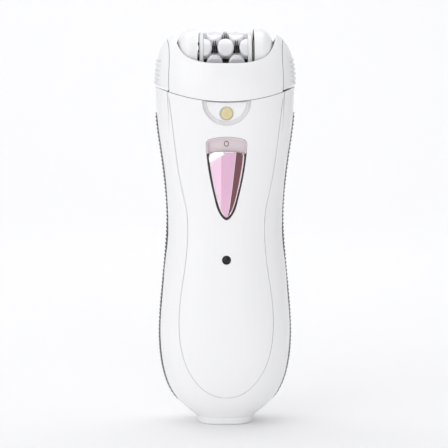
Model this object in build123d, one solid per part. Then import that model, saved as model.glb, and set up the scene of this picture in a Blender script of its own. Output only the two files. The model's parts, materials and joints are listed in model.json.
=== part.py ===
"""Cordless epilator: a waisted hand grip with a lift-off head that carries a rotating tweezer drum.

Millimetres. +Z is up along the grip, -Y is the front with the switch, and +X is to the right of
the front. The origin is the centre of the flat foot that the epilator stands on. Every function
below makes one sub-part or one group of identical ones, and the last lines write them all.
"""

import os
from math import acos, atan2, cos, degrees, pi, radians, sin, sqrt, tan

from build123d import *

# ---- driving dimensions of the outer form
SQUARENESS = 2.3  # exponent of the superellipse that every cross-section follows
SECTION_POINTS = 24
FOOT_TOP = 3.0
SHOULDER = 131.0
CROWN = 148.6
# height, half width, depth in front, depth behind
STATIONS = [
    (FOOT_TOP, 11.2, 9.4, 9.4),
    (7.0, 16.2, 12.5, 12.8),
    (11.0, 19.6, 14.6, 15.4),
    (18.5, 22.9, 16.8, 18.3),
    (32.0, 24.8, 18.0, 20.0),
    (49.5, 24.0, 17.5, 19.0),
    (64.5, 22.6, 16.6, 17.2),
    (78.0, 21.8, 16.0, 15.9),
    (91.0, 22.5, 16.1, 15.4),
    (106.5, 24.5, 17.2, 16.2),
    (117.0, 25.8, 18.2, 17.6),
    (125.0, 26.2, 18.7, 18.3),
    (SHOULDER, 26.5, 18.7, 18.5),
    (136.0, 26.0, 17.4, 17.2),
    (140.0, 25.2, 15.3, 15.2),
    (143.5, 23.7, 12.6, 12.6),
    (146.2, 21.6, 9.9, 9.9),
    (CROWN, 18.2, 6.6, 6.6),
]
PANEL_SKIN = 1.25  # thickness of the inlaid front panel
HOUSING_WALL = 2.6
COVER_WALL = 1.8
BUTTON_WALL = 1.6
SEAM_GAP = 0.12  # between the panel and its recess
PARTING_GAP = 0.1  # between front and rear shells

# ---- the curved seam between grip and head: a cylinder along Y
SEAM_FRONT = 122.7
SEAM_RADIUS = 66.0
HEAD_GAP = 0.2

# ---- drum
DRUM_Z = 139.5
DRUM_RADIUS = 9.1
CORE_RADIUS = 6.3
CORE_END = 8.3
FLANGE_END = 9.9
FLANGE_RADIUS = 9.0
ROWS = 8
FIRST_ROW = 24.0  # degrees above the front horizon
ROW_PITCH = 360.0 / ROWS
PAD_HALF_WIDTH = 3.2
PAD_HALF_LENGTH = 3.7
OUTER_SITE = 4.1  # tweezers of the even rows stand here, and pads of the odd rows
PUSHER_RING = 5.2
PUSHER_RADIUS = 0.55
PINCH_TRAVEL = 0.4
BLADE = 0.3
AXLE_RADIUS = 1.5

# ---- head chassis and cheeks
CHEEK_IN = 10.7
PLATE_OUT = 12.2
CHEEK_RADIUS = 10.5
CHEEK_DOME_START = 13.0
CHEEK_DOME = 6.0
DECK_LOW, DECK_HIGH = 127.8, 129.2
BUTTON_TRAVEL = 1.0
BUTTON_CLEARANCE = 0.35  # between a fully pressed button and the cheek behind it

# ---- gear train, all axes along X
MODULE = 0.5
PRESSURE = radians(25.0)
BACKLASH = 0.05  # taken off each gear's teeth
DRUM_TEETH, IDLER_TEETH, SMALL_TEETH, BIG_TEETH, PINION_TEETH = 28, 24, 12, 36, 12
IDLER_Z = DRUM_Z - MODULE * (DRUM_TEETH + IDLER_TEETH) / 2
COMPOUND_Z = IDLER_Z - MODULE * (IDLER_TEETH + SMALL_TEETH) / 2
MOTOR_Y = 2.5
MOTOR_Z = COMPOUND_Z - sqrt((MODULE * (BIG_TEETH + PINION_TEETH) / 2) ** 2 - MOTOR_Y**2)
MOTOR_RADIUS = 10.2
MOTOR_LEFT, MOTOR_RIGHT = -13.8, 11.2
MOTOR_FLAT = 7.6  # half the thickness across the can's flats
FIT = 0.03  # radial running clearance

# ---- controls on the front panel
SWITCH_TIP, SWITCH_SHOULDER, SWITCH_CROWN, SWITCH_HALF = 78.7, 106.8, 109.8, 7.7
SLIDER_TOP = 104.4
SLIDER_TRAVEL = 3.0
LAMP_Z = 118.4
WINDOW_CENTRE, WINDOW_RADIUS = 123.0, 9.0
INDICATOR_Z, INDICATOR_RADIUS = 63.8, 1.6
PCB_FRONT, PCB_BACK = -9.4, -8.2

# ---- grip contents
CELL_RADIUS, CELL_X, CELL_Y, CELL_LOW, CELL_HIGH = 7.1, 7.3, 1.5, 28.0, 76.5
HOUSING_SCREWS = [(-11.0, 20.0), (11.0, 20.0), (-15.5, 87.0), (15.5, 87.0)]
HEAD_SCREWS = [(sx * 12.5, sy * 12.2) for sx in (-1, 1) for sy in (-1, 1)]
STRIP_LOW, STRIP_HIGH, STRIP_HALF = 8.5, 118.5, 2.2
SOCKET_RADIUS, SOCKET_DEPTH = 1.78, 11.0

BIG = 200.0


# ---- small tools
def block(x0, x1, y0, y1, z0, z1):
    centre = Pos((x0 + x1) / 2, (y0 + y1) / 2, (z0 + z1) / 2)
    return centre * Box(x1 - x0, y1 - y0, z1 - z0)


def rod_x(x0, x1, radius, y=0.0, z=0.0):
    return Pos((x0 + x1) / 2, y, z) * Rot(0, 90, 0) * Cylinder(radius, x1 - x0)


def rod_y(y0, y1, radius, x=0.0, z=0.0):
    return Pos(x, (y0 + y1) / 2, z) * Rot(90, 0, 0) * Cylinder(radius, y1 - y0)


def rod_z(z0, z1, radius, x=0.0, y=0.0):
    return Pos(x, y, (z0 + z1) / 2) * Cylinder(radius, z1 - z0)


def about_drum(angle):
    """Turns a shape made at the drum's front, at angle 0, about the drum's axis."""
    return Pos(0, 0, DRUM_Z) * Rot(-angle, 0, 0) * Pos(0, 0, -DRUM_Z)


def mirrored(shape):
    return mirror(shape, about=Plane.YZ)


def superellipse(half_x, front, rear, z, squareness=SQUARENESS):
    """A closed cross-section at height z, starting behind."""
    points = []
    for k in range(SECTION_POINTS):
        c, s = cos(pi / 2 + 2 * pi * k / SECTION_POINTS), sin(pi / 2 + 2 * pi * k / SECTION_POINTS)
        depth = rear if s > 0 else front
        x = half_x * abs(c) ** (2 / squareness) * (1 if c > 0 else -1)
        y = depth * abs(s) ** (2 / squareness) * (1 if s > 0 else -1)
        points.append(Vector(x, y, z))
    return Face(Wire([Edge.make_spline(points, periodic=True)]))


def form(inset):
    """The whole outer form as one smooth solid, drawn in by inset all over."""
    sections = []
    for z, half, front, rear in STATIONS:
        lift = max(0.0, 1 - (z - FOOT_TOP) / 16) - max(0.0, (z - SHOULDER) / (CROWN - SHOULDER))
        sections.append(superellipse(half - inset, front - inset, rear - inset, z + inset * lift))
    return loft(sections)


def column(half_x, half_y, z0, z1, squareness=SQUARENESS):
    return loft([superellipse(half_x, half_y, half_y, z, squareness) for z in (z0, z1)])


def above_seam(gap):
    """Everything above the seam surface, by gap."""
    return rod_y(-BIG, BIG, SEAM_RADIUS - gap, 0, SEAM_FRONT + SEAM_RADIUS)


def prism_y(edges, y0, y1):
    """A prism along Y over closed edges drawn in the XZ plane."""
    return extrude(Pos(0, y0, 0) * Face(Wire(edges)), amount=y1 - y0, dir=(0, 1, 0))


def xz(x, z):
    return Vector(x, 0, z)


def mirror_edges(edges):
    return edges + [edge.mirror(Plane.YZ) for edge in edges]


def teardrop(inset=0.0, y0=-30.0, y1=-3.0):
    """The prism of the switch: a rounded tip below, widening to a shoulder, and a bowed top."""
    tip, half, crown = SWITCH_TIP + 1.3 * inset, SWITCH_HALF - inset, SWITCH_CROWN - inset
    shoulder = SWITCH_SHOULDER
    height = shoulder - tip
    side = [(0, 0), (0.30, 0.07), (0.56, 0.262), (0.775, 0.52), (0.92, 0.756), (1, 1)]
    both = [(-u, v) for u, v in side[:0:-1]] + side
    rail = Edge.make_spline([xz(half * u, tip + height * v) for u, v in both])
    corner_x, corner_z = 0.78 * half, crown - 0.8
    corner = Edge.make_tangent_arc(rail @ 1, rail % 1, xz(corner_x, corner_z))
    top = Edge.make_three_point_arc(
        xz(corner_x, corner_z), xz(0, crown), xz(-corner_x, corner_z)
    )
    return prism_y([rail] + mirror_edges([corner]) + [top], y0, y1)


def shield(gap, y0=-30.0, y1=-3.0):
    """The prism of the front panel, wider by gap: waisted like the grip and round at its foot."""
    side = [
        (0, 11.5 - gap),
        (8.0 + gap, 14.2 - gap / 2),
        (13.5 + gap, 20.6),
        (17.3 + gap, 33.0),
        (17.2 + gap, 48.0),
        (14.9 + gap, 64.5),
        (14.5 + gap, 80.0),
        (18.3 + gap, 100.5),
        (21.4 + gap, 120.0),
        (22.0 + gap, 130.0),
    ]
    rail = Edge.make_spline([xz(x, z) for x, z in side], tangents=[(1, 0, 0), (0.05, 0, 1)])
    top = Edge.make_line(xz(22.0 + gap, 130.0), xz(-22.0 - gap, 130.0))
    return prism_y(mirror_edges([rail]) + [top], y0, y1)


def half_disc(radius, y0, y1):
    return rod_y(y0, y1, radius, 0, WINDOW_CENTRE)


def opening_trough():
    """The U-shaped opening of the head, seen from the front, cut right through along Y."""
    side = [(0, 137.0), (11.4, 138.0), (15.2, 139.8), (17.4, 142.6), (18.9, 145.9), (20.4, 149.0)]
    rail = Edge.make_spline([xz(x, z) for x, z in side], tangents=[(1, 0, 0), (0.45, 0, 1)])
    rise = Edge.make_line(xz(20.4, 149.0), xz(20.4, 160.0))
    top = Edge.make_line(xz(20.4, 160.0), xz(-20.4, 160.0))
    return prism_y(mirror_edges([rail, rise]) + [top], -40, 40)


def button_arch(gap, x0=14.0, x1=40.0):
    """The prism along X that outlines a release button: an arch, straight below its springing."""
    spring, half, rise = 129.0, 12.4 + gap, 16.9 + gap
    arch = Edge.make_ellipse(half, rise, Plane((x0, 0, spring), (0, 1, 0), (1, 0, 0)), 0, 180)
    left, right = Vector(x0, -half, spring), Vector(x0, half, spring)
    left_foot, right_foot = Vector(x0, -half, 118), Vector(x0, half, 118)
    sides = [
        Edge.make_line(left, left_foot),
        Edge.make_line(left_foot, right_foot),
        Edge.make_line(right_foot, right),
    ]
    return extrude(Face(Wire([arch, *sides])), amount=x1 - x0, dir=(1, 0, 0))


def strip_slot(half, low, high):
    """The round-ended prism along X of a side strip, on the right."""
    middle = block(15, 40, -half, half, low + half, high - half)
    return middle + rod_x(15, 40, half, 0, low + half) + rod_x(15, 40, half, 0, high - half)


def gear(teeth, x0, x1, y, z, phase, bore):
    """A spur gear along X. phase is the angle of one tooth's centre, from +Y towards +Z."""
    pitch = MODULE * teeth / 2
    base, tip, root = pitch * cos(PRESSURE), pitch + 0.9 * MODULE, pitch - 1.15 * MODULE
    half_tooth = pi / (2 * teeth) - BACKLASH / (2 * pitch)

    def half_angle(radius):
        turn = acos(min(1.0, base / radius))
        return half_tooth + (tan(PRESSURE) - PRESSURE) - (tan(turn) - turn)

    foot = max(base, root)
    radii = [foot + (tip - foot) * k / 3 for k in range(4)]
    rising = [(root, half_angle(foot))] if root < base else []
    rising += [(r, half_angle(r)) for r in radii]
    points = []
    for k in range(teeth):
        centre = phase + 2 * pi * k / teeth
        flanks = [(r, centre - a) for r, a in rising] + [(r, centre + a) for r, a in rising[::-1]]
        points += [Vector(x0, y + r * cos(t), z + r * sin(t)) for r, t in flanks]
    outline = Face(Wire.make_polygon(points, close=True))
    return extrude(outline, amount=x1 - x0, dir=(1, 0, 0)) - rod_x(x0 - 1, x1 + 1, bore, y, z)


def mesh_phase(teeth, phase, mate_teeth, direction):
    """The phase of a gear that meshes with one at direction, seen from that one's centre."""
    step, mate_step = 2 * pi / teeth, 2 * pi / mate_teeth
    along = (direction - phase) / step
    return direction + pi - (0.5 - along) * mate_step


def screw(length, shank, head, head_height, place):
    """A cross-recessed screw: its head's top at the origin, pointing along -Z before place."""
    arm = head * 0.62
    body = rod_z(-head_height, 0, head) + rod_z(-length, -head_height, shank)
    cross = block(-arm, arm, -0.3, 0.3, -0.7, 0.1) + block(-0.3, 0.3, -arm, arm, -0.7, 0.1)
    return place * (body - cross)


# ---- shared solids
OUTER = form(0)
SKIN = form(PANEL_SKIN)
RECESS = form(PANEL_SKIN + 0.05)
CAVITY = form(HOUSING_WALL)
POSTS = form(PANEL_SKIN + 0.8)
SLEEVES = form(0.5)
SEAM = above_seam(0)
DRUM_PHASE = 0.0
IDLER_PHASE = mesh_phase(DRUM_TEETH, DRUM_PHASE, IDLER_TEETH, -pi / 2)
SMALL_PHASE = mesh_phase(IDLER_TEETH, IDLER_PHASE, SMALL_TEETH, -pi / 2)
PINION_DIRECTION = atan2(MOTOR_Z - COMPOUND_Z, MOTOR_Y)
PINION_PHASE = mesh_phase(BIG_TEETH, 0.0, PINION_TEETH, PINION_DIRECTION)


# ---- grip: shells and trim
def housing_shell():
    """The grip's shell, open above: recessed for the panel and strips, holed for the socket."""
    recess = (form(-0.5) - RECESS) & shield(SEAM_GAP)
    groove = strip_slot(STRIP_HALF + 0.1, STRIP_LOW - 0.1, STRIP_HIGH + 0.1) - form(1.0)
    return OUTER - recess - SEAM - CAVITY - groove - mirrored(groove) - rod_z(0, 8, 4.4)


def front_housing(shell):
    front = shell & block(-BIG, BIG, -BIG, -PARTING_GAP / 2, -10, BIG)
    front -= teardrop(-0.1)
    front -= half_disc(WINDOW_RADIUS - 1.4, -30, -3)
    front -= rod_y(-30, -3, INDICATOR_RADIUS + 0.1, 0, INDICATOR_Z)
    for x, z in HOUSING_SCREWS:
        post = rod_y(-20, -0.3, 2.6, x, z) & POSTS
        front = front + post - rod_y(-9.5, 0, 1.25, x, z)
    return front


def rear_housing(shell):
    rear = shell & block(-BIG, BIG, PARTING_GAP / 2, BIG, -10, BIG)
    for x, z in HOUSING_SCREWS:
        sleeve = rod_y(0.3, 25, 3.6, x, z) & SLEEVES
        rear = rear + sleeve - rod_y(6.5, 30, 2.7, x, z) - rod_y(0, 8, 1.35, x, z)
    return rear


def housing_screws():
    made = []
    for x, z in HOUSING_SCREWS:
        made.append(screw(15.0, 1.15, 2.4, 1.6, Pos(x, 8.2, z) * Rot(-90, 0, 0)))
    return Compound(made)


def front_panel():
    panel = (OUTER - SKIN) & shield(0)
    panel -= above_seam(0)
    panel -= teardrop()
    panel -= half_disc(WINDOW_RADIUS + 0.06, -30, -3)
    return panel - rod_y(-30, -3, INDICATOR_RADIUS + 0.1, 0, INDICATOR_Z)


def side_strips():
    band = form(-0.3) - form(0.95)
    strip = band & strip_slot(STRIP_HALF, STRIP_LOW, STRIP_HIGH)
    return Compound([strip, mirrored(strip)])


def foot_cap():
    cap = loft([superellipse(10.5, 8.8, 8.8, 0), superellipse(11.2, 9.4, 9.4, FOOT_TOP - 0.05)])
    cap = fillet(cap.edges().sort_by(Axis.Z)[0], 0.9)
    return cap - rod_z(-1, 5, 4.4)


def charging_socket():
    barrel = rod_z(0, 13.5, 4.3) + rod_z(5.65, 7.0, 5.8)
    return barrel - rod_z(0, SOCKET_DEPTH, SOCKET_RADIUS)


# ---- grip: controls
def switch_bezel():
    """The tray that the slider runs in, set into the panel's opening."""
    tray = (OUTER - form(2.4)) & teardrop(0.12)
    tray -= teardrop(0.6) - form(1.3)
    return tray - block(-1.8, 1.8, -30, -3, 88.0, 95.2)


def switch_slider():
    """The thumb slider, with a hollow stem that holds the switch's knob."""
    top = rod_y(-30, -3, 26.0, 0, SLIDER_TOP - 26.0)
    cap = (form(-1.1) - form(0.85)) & teardrop(0.95) & top
    stem = block(-1.5, 1.5, -16.0, -12.75, 88.5, 91.5)
    return cap + stem - block(-1.05, 1.05, -13.6, -12, 88.95, 91.05)


def switch_knob():
    return block(-1.0, 1.0, -13.5, -12.45, 89.0, 91.0)


def slide_switch():
    case = block(-4.3, 4.3, -12.4, -9.45, 86.0, 97.2)
    return case - block(-1.3, 1.3, -13, -11.6, 88.5, 94.5)


def lamp_window():
    return (OUTER - form(1.05)) & half_disc(WINDOW_RADIUS, -30, -3) - SEAM


def lamp_reflector():
    plate = (form(1.4) - form(2.5)) & half_disc(WINDOW_RADIUS - 1.5, -30, -3) - above_seam(-0.35)
    return plate - rod_y(-30, -3, 2.6, 0, LAMP_Z)


def led_leads(z, half_pitch):
    return [rod_y(-9.6, -7.75, 0.25, side * half_pitch, z) for side in (-1, 1)]


def lamp_led():
    bulb = rod_y(-14.2, -10.5, 2.5, 0, LAMP_Z) + Pos(0, -14.2, LAMP_Z) * Sphere(2.5)
    return bulb + rod_y(-10.5, -9.5, 2.75, 0, LAMP_Z) + led_leads(LAMP_Z, 1.27)


def indicator_led():
    lens = rod_y(-16.4, -9.5, INDICATOR_RADIUS, 0, INDICATOR_Z)
    dome = Pos(0, -15.75, INDICATOR_Z) * Sphere(1.72) & rod_y(-18, -15.5, 1.58, 0, INDICATOR_Z)
    return lens + dome + led_leads(INDICATOR_Z, 1.0)


def main_board():
    board = block(-9.5, 9.5, PCB_FRONT, PCB_BACK, 56.0, 120.8)
    for z, x in ((LAMP_Z, 1.27), (INDICATOR_Z, 1.0)):
        board -= rod_y(-12, -5, 0.3, x, z) + rod_y(-12, -5, 0.3, -x, z)
    return board


def board_parts():
    """A charge controller, a coil, two capacitors and a few chips on the board's front face."""
    chips = [
        block(-6.5, -1.5, -11.0, PCB_FRONT - 0.05, 72.0, 76.0),
        block(3.0, 6.5, -10.6, PCB_FRONT - 0.05, 70.5, 72.5),
        block(3.0, 6.5, -10.6, PCB_FRONT - 0.05, 74.0, 76.0),
        block(-7.5, -5.7, -10.4, PCB_FRONT - 0.05, 103.0, 106.5),
        block(5.7, 7.5, -10.4, PCB_FRONT - 0.05, 103.0, 106.5),
    ]
    return Compound(chips + [rod_y(-12.2, PCB_FRONT - 0.05, 2.0, x, 80.0) for x in (-5.5, 5.5)])


# ---- grip: power and drive
def battery_cells():
    can = rod_z(CELL_LOW, CELL_HIGH - 1.2, CELL_RADIUS, CELL_X, CELL_Y)
    can = fillet(can.edges().filter_by(GeomType.CIRCLE), 0.6)
    cell = can + rod_z(CELL_HIGH - 1.3, CELL_HIGH, 2.75, CELL_X, CELL_Y)
    return Compound([cell, mirrored(cell)])


def battery_tray():
    """The cradle of both cells, on two ribs against the rear shell."""
    tray = block(-14.7, 14.7, CELL_Y, 8.9, CELL_LOW - 1.5, CELL_HIGH + 1.5)
    for x in (-CELL_X, CELL_X):
        tray -= rod_z(CELL_LOW - 0.35, CELL_HIGH + 0.35, CELL_RADIUS + 0.12, x, CELL_Y)
    inside = form(HOUSING_WALL + 0.08)
    for x in (-CELL_X, CELL_X):
        tray += block(x - 0.7, x + 0.7, 8.8, 25, 30, 74) & inside
    return tray


def battery_straps():
    """The nickel strap that joins the cells in series, and the two tabs below them."""
    y0, y1 = CELL_Y - 2, CELL_Y - 0.2
    straps = [block(-10, 10, y0, y1, CELL_HIGH + 0.05, CELL_HIGH + 0.25)]
    for x in (-CELL_X, CELL_X):
        straps.append(block(x - 2.5, x + 2.5, y0, y1, CELL_LOW - 0.25, CELL_LOW - 0.05))
    return Compound(straps)


def between_flats(shape):
    return shape & block(-30, 30, MOTOR_Y - MOTOR_FLAT, MOTOR_Y + MOTOR_FLAT, 80, 140)


def motor_can():
    can = rod_x(MOTOR_LEFT + 2.5, MOTOR_RIGHT - 0.1, MOTOR_RADIUS, MOTOR_Y, MOTOR_Z)
    can = fillet(can.edges().filter_by(GeomType.CIRCLE).sort_by(Axis.X)[-1], 1.0)
    boss = rod_x(MOTOR_RIGHT - 0.2, MOTOR_RIGHT + 1.3, 3.0, MOTOR_Y, MOTOR_Z)
    return between_flats(can) + boss - rod_x(-20, 20, 1.0 + FIT, MOTOR_Y, MOTOR_Z)


def motor_end_bell():
    bell = rod_x(MOTOR_LEFT, MOTOR_LEFT + 2.45, MOTOR_RADIUS - 0.4, MOTOR_Y, MOTOR_Z)
    bell = fillet(bell.edges().filter_by(GeomType.CIRCLE).sort_by(Axis.X)[0], 0.8)
    boss = rod_x(MOTOR_LEFT - 1.2, MOTOR_LEFT + 1, 3.0, MOTOR_Y, MOTOR_Z)
    return between_flats(bell) + boss - rod_x(-20, 20, 1.0 + FIT, MOTOR_Y, MOTOR_Z)


def motor_terminals():
    tabs = []
    for y in (MOTOR_Y - 5.2, MOTOR_Y + 5.2):
        tab = block(MOTOR_LEFT - 2.6, MOTOR_LEFT - 0.05, y - 1.1, y + 1.1, -0.2, 0.2)
        tabs.append(Pos(0, 0, MOTOR_Z) * tab)
    return Compound(tabs)


def motor_shaft():
    return rod_x(MOTOR_LEFT - 0.9, 18.4, 1.0, MOTOR_Y, MOTOR_Z)


def motor_pinion():
    return gear(PINION_TEETH, 15.7, 17.9, MOTOR_Y, MOTOR_Z, PINION_PHASE, 1.02)


def motor_plate():
    """The steel plate that the motor is screwed to, and that the reduction axle is pressed in."""
    plate = block(MOTOR_RIGHT + 0.05, PLATE_OUT, -7.5, 11.0, 96.5, 120.8)
    plate = fillet(plate.edges().filter_by(Axis.X), 2.0)
    plate -= rod_x(5, 20, 3.1, MOTOR_Y, MOTOR_Z) + rod_x(5, 20, 1.2, 0, COMPOUND_Z)
    for turn in (60, 240):
        plate -= rod_x(5, 20, 1.1, MOTOR_Y + 6 * cos(radians(turn)), MOTOR_Z + 6 * sin(radians(turn)))
    return plate


def motor_screws():
    made = []
    for turn in (60, 240):
        y, z = MOTOR_Y + 6 * cos(radians(turn)), MOTOR_Z + 6 * sin(radians(turn))
        made.append(screw(1.95, 0.9, 1.7, 0.9, Pos(PLATE_OUT + 0.95, y, z) * Rot(0, 90, 0)))
    return Compound(made)


def reduction_axle():
    return rod_x(MOTOR_RIGHT + 0.1, 18.85, 1.18, 0, COMPOUND_Z)


def reduction_gear():
    """The big wheel that the pinion drives, with the small one that drives the head."""
    bore = 1.18 + FIT
    small = gear(SMALL_TEETH, 12.6, 15.4, 0, COMPOUND_Z, SMALL_PHASE, bore)
    big = gear(BIG_TEETH, 15.9, 17.7, 0, COMPOUND_Z, 0.0, bore)
    spacer = rod_x(15.3, 16.0, 2.1, 0, COMPOUND_Z)
    return small + spacer + big - rod_x(10, 20, bore, 0, COMPOUND_Z)


def neck_collar():
    """The deck that closes the grip, with the collar that the head sits round."""
    deck = form(HOUSING_WALL + 0.08) & block(-BIG, BIG, -BIG, BIG, 121.2, 122.4)
    collar = column(22.4, 15.0, 121.2, 125.2) - column(21.0, 13.6, 120, 126)
    hanger = block(18.35, 19.3, -3.5, 3.5, 114.4, 121.3) - rod_x(18, 18.9, 1.25, 0, COMPOUND_Z)
    piece = deck + collar + hanger - block(12.3, 18.1, -9.9, 9.9, 120, 126)
    for side in (-1, 1):
        x0, x1 = sorted((side * 20.4, side * 22.6))
        piece -= block(x0, x1, -2.3, 2.3, 122.4, 126)
    return piece - rod_z(120, 124, 3.0, -8.0, 4.0)


def latch_spring():
    """A leaf that stands in the collar's notch, with a hook over the head's ledge."""
    leaf = block(21.2, 21.6, -2.0, 2.0, 122.45, 130.85)
    foot = block(20.6, 21.6, -2.0, 2.0, 122.45, 122.85)
    hook = block(21.5, 22.9, -1.8, 1.8, 129.4, 130.8)
    hook = chamfer(hook.edges().filter_by(Axis.Y).sort_by(Axis.Z)[-1], 0.8)
    return leaf + foot + hook


# ---- head: covers, chassis and cheeks
def cover_shell():
    shell = (OUTER & above_seam(HEAD_GAP)) - form(COVER_WALL)
    arch = button_arch(0.15)
    shell = shell - opening_trough() - arch - mirrored(arch)
    for x, y in HEAD_SCREWS:
        toward = 1 if y > 0 else -1
        boss = rod_z(DECK_HIGH + 0.1, 134.5, 2.0, x, y)
        y0, y1 = sorted((y, y + toward * 5))
        boss += block(x - 0.7, x + 0.7, y0, y1, DECK_HIGH + 0.1, 134.5)
        shell += (boss & form(0.6)) - rod_z(DECK_HIGH, 133.5, 0.95, x, y)
    return shell


def head_chassis():
    """The deck of the head, with the two plates that carry the drum and the idler's stub."""
    deck = form(2.9) & block(-21, 21, -BIG, BIG, DECK_LOW, DECK_HIGH)
    chassis = deck
    for side in (-1, 1):
        x0, x1 = sorted((side * CHEEK_IN, side * PLATE_OUT))
        chassis += rod_x(x0, x1, CHEEK_RADIUS - 0.3, 0, DRUM_Z)
        chassis += block(x0, x1, -5, 5, DECK_LOW, DRUM_Z - 6)
        g0, g1 = sorted((side * 19.4, side * 20.4))
        chassis += block(g0, g1, -7.5, 7.5, DECK_LOW + 0.1, 136.6)
        t0, t1 = sorted((side * 20.5, side * 23.1))
        chassis += block(t0, t1, -3.4, 3.4, DECK_LOW, DECK_HIGH)
        s0, s1 = sorted((side * 20.5, side * 22.3))
        chassis -= block(s0, s1, -2.3, 2.3, DECK_LOW - 1, DECK_HIGH + 1)
        chassis -= rod_x(min(g0, g1) - 0.3, max(g0, g1) + 0.3, 1.35, 0, 133.0)
    chassis += block(CHEEK_IN, PLATE_OUT, -3, 3, 123.8, DECK_LOW + 0.5)
    chassis -= rod_x(-13, 13, 2.5 + FIT, 0, DRUM_Z)
    chassis -= block(PLATE_OUT, 15.8, -7.2, 7.2, DECK_LOW - 1, DECK_HIGH + 1)
    chassis -= rod_x(CHEEK_IN - 1, PLATE_OUT + 1, 1.0, 0, IDLER_Z)
    for x, y in HEAD_SCREWS:
        chassis -= rod_z(DECK_LOW - 1, DECK_HIGH + 1, 1.3, x, y)
    return chassis


def head_screws():
    lift = Rot(180, 0, 0)
    made = [screw(6.6, 0.9, 1.9, 1.5, Pos(x, y, DECK_LOW - 1.6) * lift) for x, y in HEAD_SCREWS]
    return Compound(made)


def dome(x0, straight, reach, radius):
    """A cap about the drum's axis: a cylinder from x0 to straight, then a rounded nose."""
    bulge = [(straight + reach * sin(t), radius * cos(t)) for t in (0, 0.45, 0.9, 1.25)]
    bulge.append((straight + reach, 0))
    nose = Edge.make_spline([xz(x, z) for x, z in bulge], tangents=[(1, 0, 0), (0, 0, -1)])
    edges = [
        Edge.make_line(xz(x0, 0), xz(x0, radius)),
        Edge.make_line(xz(x0, radius), xz(straight, radius)),
        nose,
        Edge.make_line(xz(straight + reach, 0), xz(x0, 0)),
    ]
    return Pos(0, 0, DRUM_Z) * revolve(Face(Wire(edges)), Axis.X, 360)


def cheeks():
    """The domed caps over both bearing plates; the right one is slotted for the idler."""
    wall = 1.1
    cap = dome(CHEEK_IN, CHEEK_DOME_START, CHEEK_DOME, CHEEK_RADIUS)
    cap -= dome(PLATE_OUT, CHEEK_DOME_START, CHEEK_DOME - wall, CHEEK_RADIUS - wall)
    cap -= rod_x(CHEEK_IN - 1, PLATE_OUT + 0.1, CHEEK_RADIUS - 0.25, 0, DRUM_Z)
    cap -= block(0, 40, -40, 40, 100, 130.8)
    slot = block(12.3, 15.7, -6.6, 6.6, 120, 134.2)
    return Compound([cap - slot, Rot(0, 0, 180) * cap])


def drum_bushes():
    ring = rod_x(CHEEK_IN + 0.1, PLATE_OUT + 0.4, 2.5, 0, DRUM_Z)
    ring -= rod_x(5, 15, AXLE_RADIUS + FIT, 0, DRUM_Z)
    return Compound([ring, mirrored(ring)])


def pressure_cam():
    """The ramp that the pushers' ends run up to, on the right bearing plate."""
    ring = rod_x(10.35, CHEEK_IN - 0.02, 6.5, 0, DRUM_Z) - rod_x(10, 11, 4.1, 0, DRUM_Z)
    return ring & block(10, 11, -10, 1.5, DRUM_Z - 1.5, DRUM_Z + 10)


def idler_axle():
    return rod_x(CHEEK_IN + 0.1, 15.7, 0.98, 0, IDLER_Z) + rod_x(15.45, 15.75, 1.5, 0, IDLER_Z)


def idler_gear():
    return gear(IDLER_TEETH, 12.8, 15.2, 0, IDLER_Z, IDLER_PHASE, 0.98 + FIT)


# ---- head: release buttons
def release_button():
    """The right one: a ribbed skin, a guide post and the plunger that pushes the latch."""
    skin = (OUTER - form(BUTTON_WALL)) & button_arch(0) & above_seam(0.75)
    relief = BUTTON_TRAVEL + BUTTON_CLEARANCE
    skin -= dome(CHEEK_IN, CHEEK_DOME_START + relief, CHEEK_DOME, CHEEK_RADIUS + BUTTON_CLEARANCE)
    for k in range(6):
        z = 129.6 + 1.75 * k
        half = 8.6 - 0.35 * k
        bar = block(20, 40, -half, half, z - 0.42, z + 0.42)
        bar += rod_x(20, 40, 0.42, -half, z) + rod_x(20, 40, 0.42, half, z)
        skin += (form(-0.4) - form(0.4)) & bar
    post = rod_x(19.6, 25.2, 1.2, 0, 133.0)
    plunger = block(23.3, 25.2, -1.4, 1.4, 129.7, 130.9)
    return skin + post + plunger


def button_spring():
    coil_radius, wire, pitch, height = 1.8, 0.2, 0.86, 3.45
    helix = Edge.make_helix(pitch, height, coil_radius)
    section = Plane(helix @ 0, z_dir=helix % 0) * Circle(wire)
    coil = sweep(section, Wire([helix]))
    return Pos(20.75, 0, 133.0) * Rot(0, 90, 0) * coil


# ---- head: drum
def drum_core():
    core = rod_x(-CORE_END, CORE_END, CORE_RADIUS, 0, DRUM_Z)
    core -= rod_x(-12, 12, AXLE_RADIUS + 0.01, 0, DRUM_Z)
    groove = block(-12, 12, -10, -(PUSHER_RING - 0.75), DRUM_Z - 0.75, DRUM_Z + 0.75)
    cuts = []
    for row in range(ROWS):
        turn = about_drum(FIRST_ROW + ROW_PITCH * row)
        cuts.append(turn * groove)
        for x in row_sites(row):
            slot = block(x - 0.58, x - 0.22, -10, -5.55, DRUM_Z - 2.1, DRUM_Z + 2.1)
            cuts.append(turn * slot)
    return core - cuts


def row_sites(row):
    return (-OUTER_SITE, OUTER_SITE) if row % 2 == 0 else (0.0,)


def row_pads(row):
    return (-2 * OUTER_SITE, 0.0, 2 * OUTER_SITE) if row % 2 == 0 else (-OUTER_SITE, OUTER_SITE)


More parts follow.
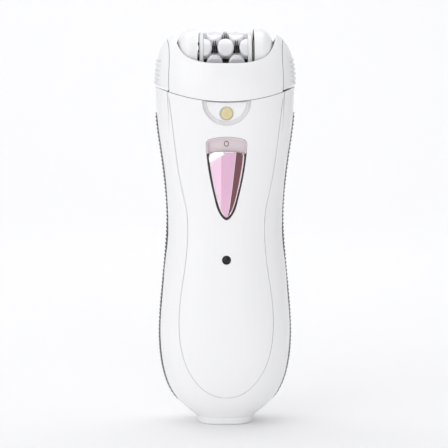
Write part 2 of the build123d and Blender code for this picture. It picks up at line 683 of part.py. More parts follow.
def drum_pads():
    """The oval pads that lift the skin between the tweezers, in staggered rows."""
    plane = Plane((0, -CORE_RADIUS + 0.6, DRUM_Z), x_dir=(1, 0, 0), z_dir=(0, -1, 0))
    pillar = extrude(plane * Ellipse(PAD_HALF_WIDTH, PAD_HALF_LENGTH), amount=5)
    pillar &= rod_x(-5, 5, DRUM_RADIUS, 0, DRUM_Z)
    pillar = fillet(pillar.edges().sort_by(Axis.Y)[0], 0.8)
    pillar -= rod_x(-5, 5, CORE_RADIUS + 0.02, 0, DRUM_Z)
    inside = block(-CORE_END + 0.03, CORE_END - 0.03, -20, 20, 120, 160)
    pads = []
    for row in range(ROWS):
        turn = about_drum(FIRST_ROW + ROW_PITCH * row)
        pads += [turn * ((Pos(x, 0, 0) * pillar) & inside) for x in row_pads(row)]
    return Compound(pads)


def drum_flanges():
    flange = rod_x(CORE_END + 0.02, FLANGE_END, FLANGE_RADIUS, 0, DRUM_Z)
    flange = fillet(flange.edges().filter_by(GeomType.CIRCLE), 0.3)
    flange -= rod_x(0, 20, AXLE_RADIUS + 0.01, 0, DRUM_Z)
    hole = rod_x(0, 20, PUSHER_RADIUS + 0.15, -PUSHER_RING, DRUM_Z)
    flange -= [about_drum(FIRST_ROW + ROW_PITCH * row) * hole for row in range(ROWS)]
    return Compound([flange, mirrored(flange)])


def blade(x, moving):
    """One tweezer blade at the drum's front: a flared finger on a fixed fork or a moving neck."""
    side = [(-6.35, 0.9), (-7.2, 1.35), (-8.0, 2.0), (-9.05, 2.4)]
    if not moving:
        side = [(-5.6, 1.9), (-5.9, 1.9), *side]
    points = [Vector(x, y, DRUM_Z + z) for y, z in side]
    points += [Vector(x, y, DRUM_Z - z) for y, z in side[::-1]]
    finger = extrude(Face(Wire.make_polygon(points, close=True)), amount=BLADE, dir=(1, 0, 0))
    if moving:
        return finger + block(x, x + BLADE, -6.5, -PUSHER_RING, DRUM_Z - 0.5, DRUM_Z + 0.5)
    return finger - block(x - 1, x + 1, -5.95, 0, DRUM_Z - 0.75, DRUM_Z + 0.75)


def fixed_blades():
    made = []
    for row in range(ROWS):
        turn = about_drum(FIRST_ROW + ROW_PITCH * row)
        made += [turn * blade(x - 0.55, False) for x in row_sites(row)]
    return Compound(made)


def pinch_slide(row):
    """A pusher rod with the moving blades of one row."""
    slide = rod_x(-10.2, 10.2, PUSHER_RADIUS, -PUSHER_RING, DRUM_Z)
    for x in row_sites(row):
        slide += blade(x + 0.2, True)
    return about_drum(FIRST_ROW + ROW_PITCH * row) * slide


def drum_axle():
    return rod_x(-14.0, 16.6, AXLE_RADIUS, 0, DRUM_Z)


def drum_gear():
    return gear(DRUM_TEETH, 12.8, 15.2, 0, DRUM_Z, DRUM_PHASE, AXLE_RADIUS + 0.01)


# ---- write every node
def main():
    os.makedirs("parts", exist_ok=True)
    shell, cover = housing_shell(), cover_shell()
    front_half = block(-BIG, BIG, -BIG, -PARTING_GAP / 2, -10, BIG)
    rear_half = block(-BIG, BIG, PARTING_GAP / 2, BIG, -10, BIG)
    latch, button, spring = latch_spring(), release_button(), button_spring()
    nodes = {
        "front_housing": front_housing(shell),
        "rear_housing": rear_housing(shell),
        "housing_screws": housing_screws(),
        "front_panel": front_panel(),
        "side_strips": side_strips(),
        "foot_cap": foot_cap(),
        "charging_socket": charging_socket(),
        "switch_bezel": switch_bezel(),
        "switch_slider": switch_slider(),
        "switch_knob": switch_knob(),
        "slide_switch": slide_switch(),
        "lamp_window": lamp_window(),
        "lamp_reflector": lamp_reflector(),
        "lamp_led": lamp_led(),
        "indicator_led": indicator_led(),
        "main_board": main_board(),
        "board_parts": board_parts(),
        "battery_cells": battery_cells(),
        "battery_tray": battery_tray(),
        "battery_straps": battery_straps(),
        "motor_can": motor_can(),
        "motor_end_bell": motor_end_bell(),
        "motor_terminals": motor_terminals(),
        "motor_shaft": motor_shaft(),
        "motor_pinion": motor_pinion(),
        "motor_plate": motor_plate(),
        "motor_screws": motor_screws(),
        "reduction_axle": reduction_axle(),
        "reduction_gear": reduction_gear(),
        "neck_collar": neck_collar(),
        "latch_spring_right": latch,
        "latch_spring_left": mirrored(latch),
        "head_front_cover": cover & front_half,
        "head_rear_cover": cover & rear_half,
        "head_chassis": head_chassis(),
        "head_screws": head_screws(),
        "cheek_caps": cheeks(),
        "drum_bushes": drum_bushes(),
        "pressure_cam": pressure_cam(),
        "idler_axle": idler_axle(),
        "idler_gear": idler_gear(),
        "release_button_right": button,
        "release_button_left": mirrored(button),
        "button_spring_right": spring,
        "button_spring_left": mirrored(spring),
        "drum_core": drum_core(),
        "drum_pads": drum_pads(),
        "drum_flanges": drum_flanges(),
        "fixed_blades": fixed_blades(),
        "drum_axle": drum_axle(),
        "drum_gear": drum_gear(),
    }
    for row in range(ROWS):
        nodes[f"pinch_slide_{row + 1}"] = pinch_slide(row)
    for name, shape in nodes.items():
        export_step(shape, f"parts/{name}.step")


if __name__ == "__main__":
    main()
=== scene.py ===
"""The looks of the epilator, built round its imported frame.

The form and the pieces on it are worked out in mm. The stage, the lights and the camera are in metres."""

import json
from math import cos, pi, radians, sin, sqrt

import bmesh
import bpy
import numpy as np
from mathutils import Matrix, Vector

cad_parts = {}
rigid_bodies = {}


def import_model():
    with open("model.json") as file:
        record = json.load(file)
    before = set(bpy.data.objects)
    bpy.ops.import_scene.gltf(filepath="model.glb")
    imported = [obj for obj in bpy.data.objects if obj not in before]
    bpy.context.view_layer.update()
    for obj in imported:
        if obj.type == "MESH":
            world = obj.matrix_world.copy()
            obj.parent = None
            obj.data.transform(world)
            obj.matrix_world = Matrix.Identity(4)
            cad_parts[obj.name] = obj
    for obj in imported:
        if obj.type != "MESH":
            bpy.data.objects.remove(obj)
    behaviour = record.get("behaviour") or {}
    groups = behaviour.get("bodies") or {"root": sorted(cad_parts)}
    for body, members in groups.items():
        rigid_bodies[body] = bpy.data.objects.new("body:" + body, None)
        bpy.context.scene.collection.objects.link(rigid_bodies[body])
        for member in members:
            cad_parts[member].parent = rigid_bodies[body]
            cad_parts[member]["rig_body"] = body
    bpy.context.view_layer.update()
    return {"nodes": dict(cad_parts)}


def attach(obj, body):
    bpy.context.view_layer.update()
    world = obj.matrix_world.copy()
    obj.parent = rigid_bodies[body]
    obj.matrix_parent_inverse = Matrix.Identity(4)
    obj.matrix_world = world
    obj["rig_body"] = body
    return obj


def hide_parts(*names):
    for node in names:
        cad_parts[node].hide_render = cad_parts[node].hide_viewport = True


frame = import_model()
MM = 0.001

# ---- the outer form: height, half width, depth in front, depth behind, in mm
SQUARENESS = 2.3
STATIONS = np.array([
    (3.0, 11.2, 9.4, 9.4),
    (7.0, 16.2, 12.5, 12.8),
    (11.0, 19.6, 14.6, 15.4),
    (18.5, 22.9, 16.8, 18.3),
    (32.0, 24.8, 18.0, 20.0),
    (49.5, 24.0, 17.5, 19.0),
    (64.5, 22.6, 16.6, 17.2),
    (78.0, 21.8, 16.0, 15.9),
    (91.0, 22.5, 16.1, 15.4),
    (106.5, 24.5, 17.2, 16.2),
    (117.0, 25.8, 18.2, 17.6),
    (125.0, 26.2, 18.7, 18.3),
    (131.0, 26.5, 18.7, 18.5),
    (136.0, 26.0, 17.4, 17.2),
    (140.0, 25.2, 15.3, 15.2),
    (143.5, 23.7, 12.6, 12.6),
    (146.2, 21.6, 9.9, 9.9),
    (148.6, 18.2, 6.6, 6.6),
])

# ---- depths under the form's surface, and heights, in mm
GRIP_WALL, COVER_WALL = 2.6, 1.8
PANEL_SKIN, WINDOW_SKIN = 1.25, 1.05
RECESS_FLOOR, TRAY_DEPTH = 1.3, 2.4
LABEL_FROM, LAMP_Z = 103.6, 118.4


def natural_spline(knots, values):
    """Second derivatives of the cubic spline through values, free at both ends."""
    n = len(knots)
    system, right = np.eye(n), np.zeros(n)
    for i in range(1, n - 1):
        before, after = knots[i] - knots[i - 1], knots[i + 1] - knots[i]
        system[i, i - 1:i + 2] = before, 2 * (before + after), after
        right[i] = 6 * ((values[i + 1] - values[i]) / after - (values[i] - values[i - 1]) / before)
    return np.linalg.solve(system, right)


CURVATURES = [natural_spline(STATIONS[:, 0], STATIONS[:, k]) for k in (1, 2, 3)]


def half_axes(z, inset=0.0):
    """Half width, front depth and rear depth of the form at heights z, in mm."""
    z = np.clip(np.asarray(z, float), STATIONS[0, 0], STATIONS[-1, 0])
    knots = STATIONS[:, 0]
    i = np.clip(np.searchsorted(knots, z) - 1, 0, len(knots) - 2)
    step = knots[i + 1] - knots[i]
    a, b = (knots[i + 1] - z) / step, (z - knots[i]) / step
    found = []
    for k, bend in zip((1, 2, 3), CURVATURES):
        values = STATIONS[:, k]
        line = a * values[i] + b * values[i + 1]
        curve = ((a ** 3 - a) * bend[i] + (b ** 3 - b) * bend[i + 1]) * step ** 2 / 6
        found.append(line + curve - inset)
    return found


def level(points, inset):
    """How far points are outside the form drawn in by inset, and its outward normals there, in mm."""
    def value(p):
        half, front, rear = half_axes(p[:, 2], inset)
        depth = np.where(p[:, 1] < 0, front, rear)
        terms = np.abs(p[:, 0] / half) ** SQUARENESS + np.abs(p[:, 1] / depth) ** SQUARENESS
        return terms ** (1 / SQUARENESS) - 1

    step = 0.05
    here = value(points)
    slopes = [(value(points + step * e) - value(points - step * e)) / (2 * step) for e in np.eye(3)]
    slope = np.stack(slopes, 1)
    size = np.maximum(np.linalg.norm(slope, axis=1), 1e-9)
    return here / size, slope / size[:, None]


def surface_x(y, z, inset=0.0):
    """The right side's x at (y, z)."""
    half, front, rear = half_axes(z, inset)
    depth = np.where(np.asarray(y) < 0, front, rear)
    return half * np.maximum(1 - np.abs(y / depth) ** SQUARENESS, 0) ** (1 / SQUARENESS)


def surface_y(x, z, inset=0.0):
    """The front's y at (x, z)."""
    half, front, _ = half_axes(z, inset)
    return -front * np.maximum(1 - np.abs(x / half) ** SQUARENESS, 0) ** (1 / SQUARENESS)


# ---- materials
GRAIN_FINENESS, GRAIN_DEPTH = 9, 0.00002


def material(name, colour, metallic=0.0, coat=0.0, coat_roughness=0.05, subsurface=0.0, emission=0.0,
             alpha=1.0):
    """A principled material with the values that are the same all over it."""
    mat = bpy.data.materials.new(name)
    mat.use_nodes = True
    shader = mat.node_tree.nodes["Principled BSDF"]
    values = {
        "Base Color": (*colour, 1.0), "Metallic": metallic, "IOR": 1.5, "Alpha": alpha,
        "Coat Weight": coat, "Coat Roughness": coat_roughness, "Subsurface Weight": subsurface,
        "Emission Color": (*colour, 1.0), "Emission Strength": emission,
    }
    for key, value in values.items():
        shader.inputs[key].default_value = value
    if subsurface:
        shader.inputs["Subsurface Radius"].default_value = (1.0, 0.8, 0.7)
        shader.inputs["Subsurface Scale"].default_value = 0.0015
    return mat


def noise(mat, scale, stretch):
    nodes, links = mat.node_tree.nodes, mat.node_tree.links
    coords = nodes.new("ShaderNodeTexCoord")
    mapping = nodes.new("ShaderNodeMapping")
    mapping.inputs["Scale"].default_value = stretch
    texture = nodes.new("ShaderNodeTexNoise")
    texture.inputs["Scale"].default_value = scale
    texture.inputs["Detail"].default_value = 3.0
    links.new(coords.outputs["Object"], mapping.inputs["Vector"])
    links.new(mapping.outputs["Vector"], texture.inputs["Vector"])
    return texture.outputs["Fac"]


def ramp(mat, factor, stops):
    node = mat.node_tree.nodes.new("ShaderNodeValToRGB")
    elements = node.color_ramp.elements
    while len(elements) < len(stops):
        elements.new(0.5)
    for element, (place, colour) in zip(elements, stops):
        element.position = place
        element.color = (*colour, 1.0)
    mat.node_tree.links.new(factor, node.inputs["Fac"])
    return node.outputs["Color"]


def drive(mat, output, socket):
    mat.node_tree.links.new(output, mat.node_tree.nodes["Principled BSDF"].inputs[socket])


def bump(mat, height, strength, distance):
    node = mat.node_tree.nodes.new("ShaderNodeBump")
    node.inputs["Strength"].default_value = strength
    node.inputs["Distance"].default_value = distance
    mat.node_tree.links.new(height, node.inputs["Height"])
    mat.node_tree.links.new(node.outputs["Normal"], mat.node_tree.nodes["Principled BSDF"].inputs["Normal"])


def grey(value):
    return (value, value, value)


def mottled(mat, colour, spread, rough, scale, bumps=0.0, stretch=(1, 1, 1)):
    """Varies colour and roughness a little, and adds a fine moulded or brushed texture."""
    fac = noise(mat, scale, stretch)
    low = tuple(max(0.0, c - spread) for c in colour)
    drive(mat, ramp(mat, fac, [(0.0, low), (1.0, colour)]), "Base Color")
    drive(mat, ramp(mat, fac, [(0.0, grey(rough[0])), (1.0, grey(rough[1]))]), "Roughness")
    if bumps:
        bump(mat, noise(mat, scale * GRAIN_FINENESS, stretch), bumps, GRAIN_DEPTH)
    return mat


def plastic(name, colour, rough, spread=0.01, coat=0.0, scale=220.0, bumps=0.05, **extra):
    return mottled(material(name, colour, coat=coat, **extra), colour, spread, rough, scale, bumps)


def metal(name, colour, rough, stretch=(1, 1, 1), scale=300.0, bumps=0.15, spread=0.04):
    return mottled(material(name, colour, metallic=1.0), colour, spread, rough, scale, bumps, stretch)


def ring_colour(mat, centre_mm, stops):
    """Colours by the distance from an axis along Y; stops are (radius in mm, colour)."""
    nodes, links = mat.node_tree.nodes, mat.node_tree.links
    coords, mapping = nodes.new("ShaderNodeTexCoord"), nodes.new("ShaderNodeMapping")
    widest = stops[-1][0]
    mapping.inputs["Location"].default_value = [-c / widest for c in centre_mm]
    mapping.inputs["Scale"].default_value = (1 / (widest * MM), 0, 1 / (widest * MM))
    length = nodes.new("ShaderNodeVectorMath")
    length.operation = "LENGTH"
    links.new(coords.outputs["Object"], mapping.inputs["Vector"])
    links.new(mapping.outputs["Vector"], length.inputs[0])
    drive(mat, ramp(mat, length.outputs["Value"], [(r / widest, c) for r, c in stops]), "Base Color")
    return mat


gloss_white = plastic("gloss_white", (0.88, 0.88, 0.89), (0.255, 0.275), 0.003, coat=0.3,
                      coat_roughness=0.16, bumps=0.02)
satin_white = plastic("satin_white", (0.86, 0.865, 0.875), (0.33, 0.36), 0.005, coat=0.15)
# The reflector glows a little though it is no lamp: painted light that brightens the lamp window.
reflector_painted_glow = plastic("reflector_painted_glow", (0.92, 0.92, 0.93), (0.2, 0.3), 0.01, emission=0.12)
foot_white = plastic("foot_white", (0.88, 0.88, 0.89), (0.3, 0.38), 0.015, coat=0.2)
strip_grey = metal("strip_grey", (0.075, 0.075, 0.08), (0.16, 0.30), stretch=(1, 1, 0.1), spread=0.02)
# Dark grey painted on the release buttons' side walls as the shade in the gaps round them.
painted_gap_shade = plastic("graphite_plastic", (0.10, 0.10, 0.105), (0.35, 0.5), 0.01)
collar_grey = plastic("collar_grey", (0.38, 0.38, 0.39), (0.4, 0.5), 0.01)
black = plastic("black_plastic", (0.006, 0.006, 0.007), (0.4, 0.5), 0.002)
lens_black = plastic("smoked_lens", (0.004, 0.004, 0.005), (0.22, 0.28), 0.001, bumps=0.0)
pearl = plastic("pearl_pad", (0.86, 0.86, 0.89), (0.14, 0.2), 0.04, coat=0.9, metallic=0.15)
acetal = plastic("acetal", (0.83, 0.80, 0.72), (0.34, 0.44), 0.02, subsurface=0.1)
# Two copies of the slider's pink, one lighter and one darker: painted lit and shaded sides of the same
# surface.
pink_painted_lit = plastic("pink_painted_lit", (0.93, 0.63, 0.81), (0.12, 0.18), 0.012, coat=0.8, metallic=0.15)
pink_painted_shade = plastic("pink_painted_shade", (0.76, 0.46, 0.63), (0.12, 0.18), 0.012, coat=0.8, metallic=0.15)
# The slider's right facet coloured dark maroon: a painted reflection of a dark surrounding.
painted_dark_reflection = plastic("maroon_facet", (0.19, 0.075, 0.088), (0.14, 0.2), 0.012, coat=0.3, metallic=0.2)
# Bright silver for the slider's rim; also put on its top chamfer and crease line as a painted highlight.
rim_silver_and_painted_highlight = metal("rim_silver_and_painted_highlight", (0.93, 0.85, 0.89), (0.1, 0.16), spread=0.02, bumps=0.03)
label_mauve = plastic("label_mauve", (0.74, 0.65, 0.68), (0.26, 0.34), 0.03, coat=0.3)
bezel_dark = plastic("bezel_dark", (0.045, 0.025, 0.032), (0.24, 0.32), 0.008, coat=0.4)
mark_ink = plastic("mark_ink", (0.20, 0.15, 0.17), (0.3, 0.4), 0.01)
window = plastic("frosted_window", (0.90, 0.885, 0.90), (0.2, 0.28), 0.01, coat=0.4, alpha=0.2)
led_yellow = ring_colour(
    plastic("led_epoxy", (0.80, 0.64, 0.16), (0.08, 0.14), 0.03, coat=0.6, emission=0.16), (0, 0, LAMP_Z),
    [(0.0, (0.58, 0.40, 0.01)), (1.1, (0.66, 0.50, 0.02)), (1.6, (0.74, 0.62, 0.06)),
     (2.4, (0.90, 0.86, 0.45))])
steel = metal("steel", (0.55, 0.56, 0.58), (0.22, 0.36))
blade_steel = metal("blade_steel", (0.12, 0.108, 0.11), (0.25, 0.38), stretch=(1, 1, 6))
brass = metal("brass", (0.72, 0.55, 0.28), (0.22, 0.34))
mask_green = plastic("solder_mask", (0.02, 0.12, 0.05), (0.2, 0.3), 0.01, coat=0.5)
sleeve_green = plastic("cell_sleeve", (0.12, 0.30, 0.18), (0.2, 0.3), 0.02, coat=0.4)

CAD_LOOKS = {
    collar_grey: ["neck_collar"],
    black: ["head_chassis", "charging_socket", "switch_knob", "motor_end_bell", "board_parts",
            "battery_tray", "drum_core"],
    reflector_painted_glow: ["lamp_reflector"],
    foot_white: ["foot_cap"],
    satin_white: ["drum_flanges"],
    pearl: ["drum_pads"],
    lens_black: ["indicator_led"],
    led_yellow: ["lamp_led"],
    gloss_white: ["cheek_caps"],
    steel: ["housing_screws", "slide_switch", "battery_straps", "motor_can", "motor_shaft", "motor_plate",
            "motor_screws", "reduction_axle", "latch_spring_right", "latch_spring_left", "head_screws",
            "idler_axle", "button_spring_right", "button_spring_left", "drum_axle"],
    blade_steel: ["fixed_blades"] + [f"pinch_slide_{row}" for row in range(1, 9)],
    brass: ["motor_terminals", "motor_pinion", "drum_bushes"],
    acetal: ["reduction_gear", "idler_gear", "drum_gear", "pressure_cam"],
    mask_green: ["main_board"],
    sleeve_green: ["battery_cells"],
}
for mat, names in CAD_LOOKS.items():
    for name in names:
        slots = frame["nodes"][name].data.materials
        slots.clear()
        slots.append(mat)


# ---- smooth copies of the moulded shells
def shaded_flank(centres):
    """Picks the second material, a dark painted shade for the buttons' gaps, for the faces that lie under
    the form's surface.
    """
    depth = 0.15
    return (level(centres, 0.0)[0] < -depth).astype(int)


def label_band(centres):
    """Picks the second material for the faces of the switch tray above the slider."""
    return (centres[:, 2] > LABEL_FROM).astype(int)


def skin(node, mats, insets, pick=None):
    """Replaces a moulded CAD shell by a copy that shades as smoothly as the form it lies on.

    insets, in mm, are those of the form's surfaces that it has. pick gives the place of each face's
    material in mats, from the faces' centres in mm."""
    near, least_facing = 0.09, 0.3
    source = frame["nodes"][node]
    bm = bmesh.new()
    bm.from_mesh(source.data)
    bmesh.ops.remove_doubles(bm, verts=bm.verts, dist=2e-6)
    bmesh.ops.triangulate(bm, faces=bm.faces)
    mesh = bpy.data.meshes.new(node + "_skin")
    bm.to_mesh(mesh)
    bm.free()
    mesh.shade_smooth()
    mesh.set_sharp_from_angle(angle=radians(30))
    points = np.array([v.co for v in mesh.vertices]) / MM
    faces = np.array([tuple(f.vertices) for f in mesh.polygons])
    flat = np.array([tuple(f.normal) for f in mesh.polygons])
    normals = np.array([n.vector for n in mesh.corner_normals]).reshape(-1, 3, 3)
    for inset in insets:
        away, outward = level(points, inset)
        facing = (flat * outward[faces].mean(1)).sum(1)
        on = (np.abs(away) < near)[faces].all(1) & (np.abs(facing) > least_facing)
        normals[on] = outward[faces[on]] * np.sign(facing[on])[:, None, None]
    mesh.normals_split_custom_set(normals.reshape(-1, 3).tolist())
    mesh.materials.clear()
    for mat in mats:
        mesh.materials.append(mat)
    if pick:
        mesh.polygons.foreach_set("material_index", pick(points[faces].mean(1)))
    place(bpy.data.objects.new(node + "_skin", mesh), source["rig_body"], node)


def place(piece, body, *nodes, slot=None):
    """Links a finished piece, rides it on its body and hides the CAD nodes it stands for."""
    bpy.context.scene.collection.objects.link(piece)
    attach(piece, body)
    if nodes:
        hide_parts(*nodes)


def mesh_piece(name, points_mm, faces, mats, sharp=35, picks=None):
    """A smooth closed mesh; picks gives each face's place in mats."""
    mesh = bpy.data.meshes.new(name)
    mesh.from_pydata([Vector(p) * MM for p in points_mm], [], faces)
    for mat in mats:
        mesh.materials.append(mat)
    if picks:
        mesh.polygons.foreach_set("material_index", picks)
    bm = bmesh.new()
    bm.from_mesh(mesh)
    bmesh.ops.remove_doubles(bm, verts=bm.verts, dist=1e-7)
    bmesh.ops.recalc_face_normals(bm, faces=bm.faces)
    bm.to_mesh(mesh)
    bm.free()
    mesh.shade_smooth()
    mesh.set_sharp_from_angle(angle=radians(sharp))
    return bpy.data.objects.new(name, mesh)


def closed_tube(rings, sizes):
    """Faces of a tube whose rings, stored one after another, hold sizes points each, closed at both ends."""
    faces = []
    for r in range(rings - 1):
        for c in range(sizes):
            d = (c + 1) % sizes
            faces.append((r * sizes + c, r * sizes + d, (r + 1) * sizes + d, (r + 1) * sizes + c))
    return faces + [tuple(range(sizes)), tuple(range((rings - 1) * sizes, rings * sizes))]


skin("front_housing", [gloss_white], [0.0, RECESS_FLOOR, GRIP_WALL])
skin("rear_housing", [gloss_white], [0.0, GRIP_WALL])
skin("front_panel", [gloss_white], [0.0, PANEL_SKIN])
skin("head_front_cover", [gloss_white], [0.0, COVER_WALL])
skin("head_rear_cover", [gloss_white], [0.0, COVER_WALL])
for hand in ("right", "left"):
    # Faces more than 0.15 mm under the form are painted dark as the shade in the buttons' gaps.
    skin("release_button_" + hand, [satin_white, painted_gap_shade], [0.0], shaded_flank)
skin("lamp_window", [window], [0.0, WINDOW_SKIN])
skin("switch_bezel", [bezel_dark, label_mauve], [0.0, RECESS_FLOOR, TRAY_DEPTH], label_band)


# ---- the side strips
def ribbed_strip(side):
    """A grip strip with chevron ribs, standing a little out of its recess; side is 1 or -1."""
    low, high, half, pitch, root = 8.6, 118.4, 2.15, 1.5, 0.85
    rings_per_rib, end_half, lean = 6, 0.1, 0.28
    base_proud, rib_proud, sharpness = 0.10, 0.50, 1.4
    across = np.linspace(-1, 1, 9)
    points = []
    heights = np.arange(low, high, pitch / rings_per_rib)
    for z in heights:
        past = max(abs(z - (low + high) / 2) - (high - low) / 2 + half, 0)
        width = max(sqrt(max(half ** 2 - past ** 2, 0)), end_half)
        y = width * across
        tooth = 0.5 + 0.5 * np.cos(2 * pi * (z + lean * np.abs(y)) / pitch)
        proud = base_proud + rib_proud * tooth ** sharpness * (1 - across ** 4)
        outer = surface_x(y, z) + proud
        inner = surface_x(y, z, root)
        points += [(side * a, b, z) for a, b in zip(outer, y)]
        points += [(side * a, b, z) for a, b in zip(inner[::-1], y[::-1])]
    return points, closed_tube(len(heights), 2 * len(across))


def strips():
    points, faces = [], []
    for side in (1, -1):
        more, tube = ribbed_strip(side)
        faces += [tuple(len(points) + k for k in face) for face in tube]
        points += more
    place(mesh_piece("grip_strips", points, faces, [strip_grey], sharp=50), "grip", "side_strips")


# ---- the slider
SLIDER_TIP, SLIDER_TOP, SLIDER_HALF, SLIDER_REACH = 79.75, 104.38, 6.95, 27.0
SLIDER_BOW, SLIDER_PROUD = 26.0, 1.05


def slider_half(z):
    """Half width of the slider: a rounded tip that opens towards the top."""
    v = np.clip((z - SLIDER_TIP) / SLIDER_REACH, 0, 1)
    bulge = np.interp(v, (0, 0.07, 0.262, 0.52, 0.756, 1), (1.14, 1.134, 1.094, 1.075, 1.058, 1.0))
    return SLIDER_HALF * np.sqrt(v) * bulge


def slider_crease(z):
    """Where the right facet begins, the one painted dark as a reflection."""
    return 0.25 + 3.35 * max((z - SLIDER_TIP) / (SLIDER_TOP - SLIDER_TIP), 0) ** 0.72


def slider_crown(x):
    """The lower edge of the chamfer across the top, lowest at its left end. Left of the crease line the
    chamfer is painted silver-white as a highlight.
    """
    return 103.9 - 5.3 * np.maximum((4.5 - x) / 10.6, 0) ** 2.8


def slider():
    """The thumb slider: a bright rim round a light, a mid and a dark facet, and a chamfer above. The light
    and mid facets are painted lit and shaded pink, the dark facet is painted as a dark reflection, and the
    chamfer and a thin line at the crease are painted silver-white as highlights.
    """
    rim, tip_rim_share, lit_shade_split, line = 0.5, 0.3, -2.0, 0.16
    play, corner, corner_in, root = 0.1, 1.3, 0.9, 0.8
    right_fall, left_fall, chamfer_fall = 0.24, 0.10, 0.25
    lip_low, lip_rise, lip_width, rim_proud, least_proud = 0.35, 0.6, 0.14, 0.12, 0.1
    # Spans across the slider: rim, painted lit pink, painted shaded pink, a thin line painted as the
    # crease's highlight, the facet painted dark as a reflection, rim.
    spans = (4, 12, 14, 1, 10, 4)
    mats = [rim_silver_and_painted_highlight, pink_painted_lit, pink_painted_shade, painted_dark_reflection]
    span_mat = (0, 1, 2, 0, 3, 0)
    rows = 170
    points, painted_highlight_zone = [], []
    for t in np.linspace(0.03, 1, rows):
        q = 0.5 - 0.5 * cos(pi * t)
        z_mid = SLIDER_TIP + (SLIDER_TOP - SLIDER_TIP) * q
        half = float(slider_half(z_mid)) - play
        past = max(z_mid - SLIDER_TOP + corner, 0) / corner
        half -= corner_in * (1 - sqrt(1 - min(past, 1) ** 2))
        edge = min(rim, tip_rim_share * half)
        crease = slider_crease(z_mid)
        middle = np.clip([lit_shade_split, crease - line, crease], edge - half, half - edge)
        stops = [-half, edge - half, *np.maximum.accumulate(middle), half - edge, half]
        x = [stops[0]]
        for k, n in enumerate(spans):
            x += list(np.linspace(stops[k], stops[k + 1], n + 1)[1:])
        x = np.array(x)
        top = SLIDER_TOP - SLIDER_BOW + np.sqrt(SLIDER_BOW ** 2 - x ** 2)
        z = SLIDER_TIP + (top - SLIDER_TIP) * q
        face = SLIDER_PROUD - right_fall * np.maximum(x - stops[4], 0) - left_fall * np.maximum(lit_shade_split - x, 0)
        face = np.minimum(face, SLIDER_PROUD - chamfer_fall * np.maximum(z - slider_crown(x), 0))
        inward = np.minimum(half - np.abs(x), top - z)
        lip = lip_low + lip_rise * np.clip(inward / lip_width, 0, 1)
        rim_face = np.minimum(lip, np.maximum(face, least_proud) + rim_proud)
        proud = np.where(inward < edge * 0.99, rim_face, face)
        # The chamfer left of the crease line is painted silver-white as a highlight.
        painted_highlight_zone.append((z > slider_crown(x)) & (x < stops[3]))
        y = surface_y(x, z) - proud
        points += list(zip(x, y, z))
        points += list(zip(x[::-1], surface_y(x, z, root)[::-1], z[::-1]))
    columns = sum(spans) + 1
    faces = closed_tube(rows, 2 * columns)
    columns_mat = np.repeat(span_mat, spans)
    picks = []
    for row in range(rows - 1):
        picks += [*np.where(painted_highlight_zone[row][:-1], 0, columns_mat)] + [0] * (columns + 1)
    picks += [0, 0]
    place(mesh_piece("thumb_slider", points, faces, mats, sharp=12, picks=picks), "switch", "switch_slider")


def off_mark():
    """A raised ring on the label band, the generic mark for off."""
    z_mid, radius, stroke, tall, proud, sunk = 107.2, 0.95, 0.30, 1.15, 0.05, 0.02
    turns = np.linspace(0, 2 * pi, 40, endpoint=False)
    inner = radius - stroke
    points = []
    for t in turns:
        for r, back in ((inner, sunk), (inner, -proud), (radius, -proud), (radius, sunk)):
            x, z = r * cos(t), z_mid + tall * r * sin(t)
            points.append((x, float(surface_y(x, z, RECESS_FLOOR)) + back, z))
    count = len(turns)
    faces = [(4 * k + a, 4 * k + b, 4 * ((k + 1) % count) + b, 4 * ((k + 1) % count) + a)
             for k in range(count) for a, b in ((0, 1), (1, 2), (2, 3), (3, 0))]
    place(mesh_piece("off_mark", points, faces, [mark_ink]), "grip", slot="switch_bezel")


strips()
slider()
off_mark()


# ---- stage, light and camera
def stage():
    """A pale floor that sweeps up into a backdrop behind the object."""
    front, back, bend, top, half = -1.4, 0.9, 0.6, 2.4, 2.2
    profile = [(front, 0.0), (back, 0.0)]
    profile += [(back + bend * sin(t), bend - bend * cos(t)) for t in np.linspace(0.1, pi / 2, 14)]
    profile.append((back + bend, top))
    verts = [(x, y, z) for y, z in profile for x in (-half, half)]
    faces = [(2 * k, 2 * k + 1, 2 * k + 3, 2 * k + 2) for k in range(len(profile) - 1)]
    mesh = bpy.data.meshes.new("backdrop")
    mesh.from_pydata(verts, [], faces)
    mesh.shade_smooth()
    mesh.materials.append(plastic("paper", (0.93, 0.93, 0.94), (0.7, 0.85), 0.004, scale=40.0, bumps=0.0))
    floor = bpy.data.objects.new("backdrop", mesh)
    bpy.context.scene.collection.objects.link(floor)


def lamp(name, place_at, aim, size, power, reflected=True):
    data = bpy.data.lights.new(name, "AREA")
    data.shape = "RECTANGLE"
    data.size, data.size_y = size
    data.energy = power
    light = bpy.data.objects.new(name, data)
    light.visible_glossy = reflected
    light.location = place_at
    light.rotation_mode = "QUATERNION"
    light.rotation_quaternion = (Vector(aim) - Vector(place_at)).to_track_quat("-Z", "Y")
    bpy.context.scene.collection.objects.link(light)


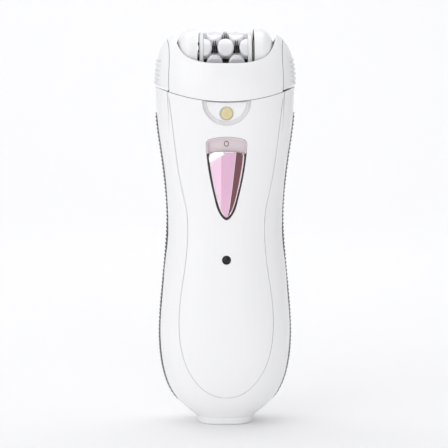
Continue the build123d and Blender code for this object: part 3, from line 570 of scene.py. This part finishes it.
def lights():
    """A white tent, dimmer on the right, with a soft key from the left, weaker lamps above and in front,
    and a wash on the backdrop."""
    tent_strength = 0.8
    tent_shades = ((0.0, 0.92), (0.35, 0.86), (0.62, 0.66), (0.8, 0.34), (1.0, 0.30))
    world = bpy.data.worlds.new("studio")
    world.use_nodes = True
    nodes, links = world.node_tree.nodes, world.node_tree.links
    coords, split = nodes.new("ShaderNodeTexCoord"), nodes.new("ShaderNodeSeparateXYZ")
    shades = nodes.new("ShaderNodeValToRGB")
    half = nodes.new("ShaderNodeMath")
    half.operation = "MULTIPLY_ADD"
    half.inputs[1].default_value, half.inputs[2].default_value = 0.5, 0.5
    elements = shades.color_ramp.elements
    for place_at, shade in tent_shades:
        element = elements.new(place_at)
        element.color = (shade, shade, shade * 1.01, 1.0)
    elements.remove(elements[0])
    elements.remove(elements[-1])
    links.new(coords.outputs["Generated"], split.inputs["Vector"])
    links.new(split.outputs["X"], half.inputs[0])
    links.new(half.outputs["Value"], shades.inputs["Fac"])
    links.new(shades.outputs["Color"], nodes["Background"].inputs["Color"])
    nodes["Background"].inputs["Strength"].default_value = tent_strength
    bpy.context.scene.world = world
    lamp("key", (-0.6, -0.85, 0.55), aim=(0, 0, 0.08), size=(0.9, 1.0), power=2.6)
    lamp("top", (0.0, -0.1, 0.9), aim=(0, 0, 0.1), size=(0.7, 0.6), power=1.0)
    lamp("front_fill", (0.1, -1.2, 0.25), aim=(0, 0, 0.07), size=(0.5, 0.5), power=2.2, reflected=False)
    lamp("backdrop_wash", (0.0, 0.5, 1.3), aim=(0, 1.2, 0.3), size=(1.6, 0.8), power=8.0)


def camera():
    """A long lens a little above the middle of the object, a little left of straight on."""
    distance, azimuth, elevation = 0.700, radians(-2.0), radians(5.0)
    pixels, pixel_mm, sensor_mm = 448, 0.3812, 36.0
    across = pixels * pixel_mm * MM
    aim = Vector((-0.00036, 0, 0.0759))
    data = bpy.data.cameras.new("camera")
    data.sensor_width = sensor_mm
    data.lens = sensor_mm * distance / across
    data.clip_start, data.clip_end = 0.05, 20.0
    back = Vector((sin(azimuth) * cos(elevation), -cos(azimuth) * cos(elevation), sin(elevation)))
    cam = bpy.data.objects.new("camera", data)
    cam.location = aim + back * distance
    cam.rotation_mode = "QUATERNION"
    cam.rotation_quaternion = (-back).to_track_quat("-Z", "Y")
    bpy.context.scene.collection.objects.link(cam)
    bpy.context.scene.camera = cam


stage()
lights()
camera()
bpy.context.scene.view_settings.view_transform = "Standard"
